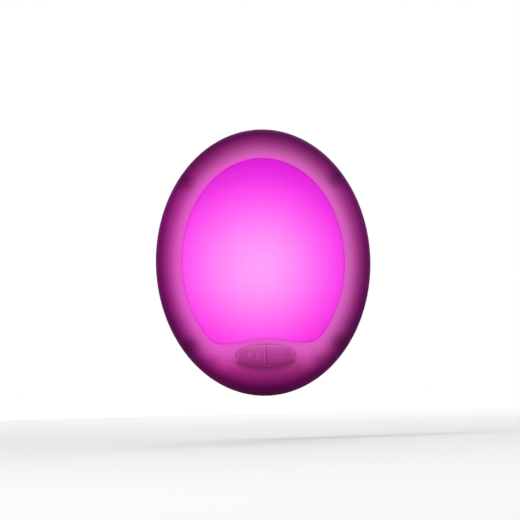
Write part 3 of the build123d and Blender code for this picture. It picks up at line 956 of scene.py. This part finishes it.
def bezel_finish(body, window, buttons, glow):
    """Frosted shell: bright by the window, dark at the rim, with painted shadows of the bosses and
    below the caps, and painted highlights. Lengths are in millimetres from the body's middle."""
    finish = satin("frosted_shell", 0.6)
    across, up = finish.across_and_up(body)
    to_rim = -1 * from_oval(across, up, body.half_width / MM, body.half_height / MM)
    from_window = beyond_window(across, up, window)
    from_edge = from_window / (from_window + to_rim)

    # Painted shadows of the four screw bosses on the shell.
    upper_boss_shadows = paired(across, up, (36.5, 39.9), 6.7, -0.4)
    lower_boss_shadows = paired(across, up, (36.5, -39.9), 6.7, -0.4)
    # Painted light in two soft spots beside the caps.
    light_beside_caps = paired(across, up, (20.6, -49.6), 6.5, 0.27)
    # Painted bright spot of light near the upper left boss.
    bright_spot = 1 + 0.45 * (across + 34.6).reach(up - 39.5).fade(1.0, 0.2)

    _, oval_up, wide, high = finish.over_caps(body, buttons)
    beyond_caps = from_oval(across, oval_up, wide, high)
    along = across / wide
    below_caps = -1 * oval_up - (1 - along * along).larger(0.0, 0.05).root() * high
    lower = oval_up.fade(-0.5, -4.0)
    centred = 1 - 0.7 * (across * across).fade(150, 300)
    shadow = lower * below_caps.fade(4.6, 1.0) * beyond_caps.fade(0.0, 0.15) * centred
    # Painted highlight along the lower lip of the caps' opening.
    lip = 1 + 0.4 * lower * beyond_caps.fade(0.7, 0.2)

    end = 66.0
    rim_light = 1.3 * finish.level((up + end) / (2 * end), RIM_LIGHT)
    rim = 1 - to_rim.fade(8.0, 1.0) * (1 - rim_light)
    low_light = 1 + 0.14 * up.fade(-38, -46)
    finish.light_up(
        from_edge,
        bezel_stops(glow),
        upper_boss_shadows * lower_boss_shadows * light_beside_caps * bright_spot * lip * rim * low_light,
        # Painted light in the colour: more saturated on the left, greyer at the top and deeper low
        # down, then the painted shadow below the caps.
        finish.mixed(across.fade(-50, 50), (1.07, 0.88, 1.06), (0.95, 1.08, 0.96)),
        finish.tint(up.fade(32, 54) * from_edge.fade(0.05, 0.25), (0.84, 1.04, 0.81)),
        finish.tint(up.fade(-38, -52), (0.97, 0.9, 0.85)),
        finish.tint(shadow, (0.52, 0.42, 0.48)),
    )
    return finish.material


def window_finish(body, window, glow):
    """Opal window: pale in the middle, deeper towards the edge and the top."""
    finish = satin("opal_window", 0.5)
    across, up = finish.across_and_up(body)
    distance = (across + 2.0).reach(up + 3.0) / 51.0
    middle, half = glow.window_middle, glow.window_half
    edge, top = glow.window_edge, glow.window_top
    colours = {
        0.0: middle,
        0.15: between(middle, half, 0.12),
        0.28: between(middle, half, 0.36),
        0.4: between(middle, half, 0.68),
        0.53: between(half, edge, 0.12),
        0.66: between(half, edge, 0.6),
        0.76: edge,
        0.87: between(edge, top, 0.5),
        1.0: top,
    }
    finish.light_up(
        distance,
        [(place, colour, 0.3) for place, colour in colours.items()],
        # Painted shade along the window's edge.
        1 - 0.2 * beyond_window(across, up, window).fade(-1.0, 0.0),
        finish.tint(up.fade(-5, -38), (1.03, 0.93, 0.96)),
        finish.tint(across.fade(-14, -38), (1.0, 1.13, 1.01)),
    )
    return finish.material


def cap_finish(name, body, buttons, glow, lift):
    """Caps and their marks: painted light at the top, along the upper edge, the ends and the
    split, and painted shade along the outline.
    """
    finish = satin(name, 0.55)
    across, up, wide, high = finish.over_caps(body, buttons)
    top, middle, bottom = glow.cap_top, glow.cap_middle, glow.cap_bottom
    colours = {
        0.0: bottom,
        0.2: between(bottom, middle, 0.6),
        0.45: middle,
        0.7: between(middle, top, 0.42),
        0.85: between(middle, top, 0.82),
        1.0: top,
    }
    # A lift paints the marks lighter, standing in for the highlight on their raised edges.
    stops = [(place, between(colour, top, lift), 0.45) for place, colour in colours.items()]
    inside = -1 * from_oval(across, up, wide, high)
    # Painted highlight: a light line left of the split.
    ridge_highlight = 1 + 0.24 * across.fade(-0.65, -0.4) * across.fade(0.2, 0.1) * up.fade(3.5, -1.0)
    # Painted light in the split between the caps.
    split = 1 + 0.11 * across.fade(0.12, 0.28) * across.fade(0.8, 0.66)
    # Painted highlight just inside the caps' upper edge.
    upper_edge_highlight = 1 + 0.2 * up.fade(0.0, 2.5) * inside.fade(0.35, 0.5) * inside.fade(1.1, 0.75)
    # Painted light at the caps' outer ends.
    ends = 1 + 0.27 * (across * across).fade(135, 205)
    # Painted shade along the caps' outline, in the gap.
    outline = 1 - 0.25 * inside.fade(0.45, 0.2)
    share = (up + high) / (2 * high)
    finish.light_up(share, stops, ridge_highlight * split * upper_edge_highlight * ends * outline)
    return finish.material


def moulded(name, colour, roughness=0.5, gloss=0.3):
    """Plain moulded or lacquered surface, with slight changes of tone and a fine texture."""
    finish = Finish(name, specular_ior_level=gloss)
    variation, light = 0.06, linear(colour)
    darker = [channel * (1 - variation) for channel in light]
    lighter = [min(1, channel * (1 + variation)) for channel in light]
    finish.set(
        base_color=finish.mixed(finish.noise(120, 4.0), darker, lighter),
        roughness=roughness - 0.06 + 0.12 * finish.noise(300),
    )
    finish.bump(finish.noise(900, 3.0), 0.08, 0.05 * MM)
    return finish.material


def plated(name, colour, roughness, stretch):
    """Plated metal with fine drawn lines and a few duller patches."""
    finish = Finish(name, metallic=1.0)
    light = linear(colour)
    lines = finish.noise(900, 4.0, stretch)
    darker = [channel * 0.82 for channel in light]
    finish.set(
        base_color=finish.mixed(finish.noise(90, 4.0), darker, light),
        roughness=roughness - 0.08 + 0.16 * lines,
    )
    finish.bump(lines, 0.1, 0.03 * MM)
    return finish.material


def circuit_board(name, mask, track):
    """Solder mask over faint copper tracks."""
    finish = Finish(name, specular_ior_level=0.5)
    inputs = {0: finish.position(), "Rotation": (math.pi / 2, 0, 0)}
    mapped = finish.node("ShaderNodeMapping", inputs).outputs[0]
    inputs = {"Vector": mapped, "Scale": 120.0, "Mortar Size": 0.03}
    tracks = finish.node("ShaderNodeTexBrick", inputs).outputs["Fac"]
    finish.set(
        base_color=finish.mixed(tracks, linear(mask), linear(track)),
        roughness=0.32 + 0.1 * finish.noise(400),
    )
    finish.bump(tracks, 0.2, 0.03 * MM)
    return finish.material


# Operators


def settings_of(context, *names):
    """Groups of settings by their names."""
    return [getattr(context.scene, f"nightlight_{name}") for name in names]


class NIGHTLIGHT_OT_bezel(bpy.types.Operator):
    """Add the frosted front shell."""

    bl_idname = "nightlight.bezel"
    bl_label = "Front Bezel"

    def execute(self, context):
        body, window, buttons, glow = settings_of(context, "body", "window", "buttons", "glow")
        front_bezel(body, window, buttons, bezel_finish(body, window, buttons, glow))
        return FINISHED


class NIGHTLIGHT_OT_window(bpy.types.Operator):
    """Add the opal window."""

    bl_idname = "nightlight.window"
    bl_label = "Opal Window"

    def execute(self, context):
        body, window, glow = settings_of(context, "body", "window", "glow")
        opal_window(body, window, window_finish(body, window, glow))
        return FINISHED


class NIGHTLIGHT_OT_caps(bpy.types.Operator):
    """Add the two button caps with their raised symbols."""

    bl_idname = "nightlight.caps"
    bl_label = "Button Caps"

    def execute(self, context):
        body, buttons, glow = settings_of(context, "body", "buttons", "glow")
        plastic = cap_finish("button_plastic", body, buttons, glow, 0.0)
        # The marks are painted lighter, standing in for the highlight on their raised edges.
        marked = cap_finish("button_mark", body, buttons, glow, 0.33)
        for side, name, marks in ((-1, "play_pause", play_pause_marks), (1, "power", power_marks)):
            cap = button_cap(f"{name}_cap", side, body, buttons, plastic)
            stem = cap_stem(f"{name}_cap_stem", side, body, buttons, plastic)
            parts = [stem, *marks(body, buttons, marked)]
            pick(cap)
            for part in parts:
                part.select_set(True)
            bpy.ops.object.join()
            placed(cap, f"{name}_button", f"{name}_cap")
        return FINISHED


class NIGHTLIGHT_OT_rear(bpy.types.Operator):
    """Add the rear shell."""

    bl_idname = "nightlight.rear"
    bl_label = "Rear Shell"

    def execute(self, context):
        shell = softened_copy("rear_shell", "rear_cover")
        # Painted dark mauve, standing in for the lamp's magenta light in a dark room.
        coat(shell, moulded("rear_shell", context.scene.nightlight_glow.rear, 0.6, 0.06))
        placed(shell, "rear_cover", "root")
        return FINISHED


class NIGHTLIGHT_OT_plug(bpy.types.Operator):
    """Add the plug blades, and finish their retainer and the screws."""

    bl_idname = "nightlight.plug"
    bl_label = "Plug and Screws"

    def execute(self, context):
        nickel = plated("plug_brass", screen(205, 202, 196), 0.28, (1, 0.08, 1))
        zinc = plated("zinc_screw", screen(186, 188, 194), 0.36, (1, 1, 1))
        for node in ("left_blade", "right_blade"):
            blade = softened_copy(node.replace("_", "_plug_"), node, 0.18 * MM)
            coat(blade, nickel)
            placed(blade, node, "root")
        for place in ("case", "main_board", "switch_board", "retainer"):
            coat(frame["nodes"][f"{place}_screws"], zinc)
        plastic = moulded("retainer_plastic", screen(217, 217, 212))
        coat(frame["nodes"]["blade_retainer"], plastic)
        return FINISHED


class NIGHTLIGHT_OT_electronics(bpy.types.Operator):
    """Finish the boards, parts and wires inside."""

    bl_idname = "nightlight.electronics"
    bl_label = "Electronics"

    def execute(self, context):
        green = circuit_board("green_board", screen(28, 96, 48), screen(58, 132, 70))
        white = circuit_board("white_board", screen(236, 236, 230), screen(222, 222, 214))
        for material, nodes in (
            (green, "main_board switch_board"),
            (white, "led_board"),
            (moulded("white_reflector", screen(243, 243, 240), 0.6), "reflector_tray"),
            (moulded("led_package", screen(242, 238, 206), 0.25, 0.5), "rgb_leds"),
            (moulded("switch_black", screen(38, 38, 40)), "play_pause_switch power_switch"),
            (moulded("plunger_grey", screen(110, 110, 116)), "play_pause_plunger power_plunger"),
            (moulded("film_red", screen(154, 40, 28), 0.25, 0.5), "film_capacitor"),
            (moulded("capacitor_sleeve", screen(28, 32, 54), 0.3, 0.5), "bulk_capacitor"),
            (moulded("chip_black", screen(30, 30, 31), 0.6), "bridge_rectifier controller_chip"),
            (moulded("resistor_body", screen(150, 178, 182), 0.45), "fuse_resistor"),
            (moulded("ferrite", screen(64, 60, 60), 0.7), "inductor"),
            (moulded("wire_black", screen(34, 34, 34), 0.45), "left_mains_wire"),
            (moulded("wire_white", screen(232, 232, 226), 0.45), "right_mains_wire"),
            (moulded("wire_red", screen(166, 34, 32), 0.45), "led_wires"),
            (moulded("wire_grey", screen(130, 130, 134), 0.45), "switch_wires"),
        ):
            for node in nodes.split():
                coat(frame["nodes"][node], material)
        return FINISHED


class NIGHTLIGHT_OT_stage(bpy.types.Operator):
    """Add the floor, the light and the camera."""

    bl_idname = "nightlight.stage"
    bl_label = "Stage"

    def execute(self, context):
        scene = context.scene
        stage, body = settings_of(context, "stage", "body")
        add_floor(stage)
        add_world(scene)
        middle = Vector((0, 0, body.middle_height))
        for name, offset, size, power in (
            ("key_light", (-0.9, -1.5, 1.2), 1.0, 13.0),
            ("fill_light", (1.3, -1.5, 0.3), 1.2, 7.0),
            ("back_light", (0.3, 1.6, 1.0), 1.2, 8.0),
        ):
            softbox(name, middle + Vector(offset), middle, size, power)
        add_camera(scene, stage, body)
        scene.view_settings.view_transform = "Standard"
        return FINISHED


def add_floor(stage):
    """Round pale floor, below the light."""
    floor = added(
        "floor",
        bpy.ops.mesh.primitive_circle_add,
        vertices=128,
        radius=stage.floor_radius,
        fill_type="NGON",
        location=(0, 0, rear_low.z - stage.floor_drop),
    )
    bpy.ops.object.transform_apply(location=True, rotation=False, scale=False)
    finish = Finish("floor", roughness=0.9, specular_ior_level=0.1)
    pale = linear(screen(246, 246, 246))
    finish.set(base_color=finish.mixed(finish.noise(6), [c * 0.98 for c in pale], pale))
    floor.data.materials.append(finish.material)


def add_world(scene):
    """White to the camera and in reflections, and a plain level of light elsewhere."""
    scene.world = bpy.data.worlds.new("studio")
    nodes, level = Nodes(scene.world), 0.6
    rays = nodes.node("ShaderNodeLightPath").outputs
    white = Number(nodes, rays["Is Camera Ray"])
    for ray in ("Is Glossy Ray", "Is Transmission Ray"):
        white = white.math("MAXIMUM", white, rays[ray])
    inputs = {"Color": (1, 1, 1, 1), "Strength": level + (1 - level) * white}
    background = nodes.node("ShaderNodeBackground", inputs)
    nodes.node("ShaderNodeOutputWorld", {"Surface": background.outputs[0]})


def softbox(name, place, target, size, power):
    """Square soft light that faces a target."""
    light = added(name, bpy.ops.object.light_add, type="AREA", location=place)
    light.data.size = size
    light.data.energy = power
    light.rotation_euler = (target - place).to_track_quat("-Z", "Y").to_euler()


def add_camera(scene, stage, body):
    """Long lens, nearly straight on, with the body a little off the picture's middle."""
    aside, above = -1.5 * MM, 1.3 * MM
    target = Vector((aside, -body.split_out, body.middle_height + above))
    pitch = Matrix.Rotation(math.pi / 2 - stage.camera_rise, 3, "X")
    turn = pitch @ Matrix.Rotation(-stage.camera_roll, 3, "Z")
    place = target + turn @ Vector((0, 0, stage.camera_distance))
    add = bpy.ops.object.camera_add
    camera = added("camera", add, location=place, rotation=turn.to_euler())
    camera.data.lens = camera.data.sensor_width * stage.camera_distance / stage.field_width
    camera.data.clip_end = 20
    scene.camera = camera


class NIGHTLIGHT_PT_panel(bpy.types.Panel):
    """Lists the pieces of the night light, and their sizes and colours."""

    bl_idname = "NIGHTLIGHT_PT_panel"
    bl_label = "Night Light"
    bl_space_type = "VIEW_3D"
    bl_region_type = "UI"
    bl_category = "Night Light"

    def draw(self, context):
        layout = self.layout
        for operator in OPERATORS:
            layout.operator(operator.bl_idname)
        for name, group in GROUPS.items():
            box = layout.box()
            box.label(text=name.title())
            for key in group.__annotations__:
                box.prop(*settings_of(context, name), key)


GROUPS = {
    "body": NIGHTLIGHT_PG_body,
    "window": NIGHTLIGHT_PG_window,
    "buttons": NIGHTLIGHT_PG_buttons,
    "glow": NIGHTLIGHT_PG_glow,
    "stage": NIGHTLIGHT_PG_stage,
}
OPERATORS = (
    NIGHTLIGHT_OT_bezel,
    NIGHTLIGHT_OT_window,
    NIGHTLIGHT_OT_caps,
    NIGHTLIGHT_OT_rear,
    NIGHTLIGHT_OT_plug,
    NIGHTLIGHT_OT_electronics,
    NIGHTLIGHT_OT_stage,
)


def register():
    """Makes the settings, the operators and the panel known."""
    for cls in (*GROUPS.values(), *OPERATORS, NIGHTLIGHT_PT_panel):
        bpy.utils.register_class(cls)
    for name, group in GROUPS.items():
        setattr(bpy.types.Scene, f"nightlight_{name}", bpy.props.PointerProperty(type=group))


def unregister():
    """Takes them away again."""
    for name in GROUPS:
        delattr(bpy.types.Scene, f"nightlight_{name}")
    for cls in (NIGHTLIGHT_PT_panel, *OPERATORS[::-1], *reversed(GROUPS.values())):
        bpy.utils.unregister_class(cls)


def main():
    """Builds every piece and the stage."""
    register()
    for operator in OPERATORS:
        group, name = operator.bl_idname.split(".")
        getattr(getattr(bpy.ops, group), name)()


if __name__ == "__main__":
    main()
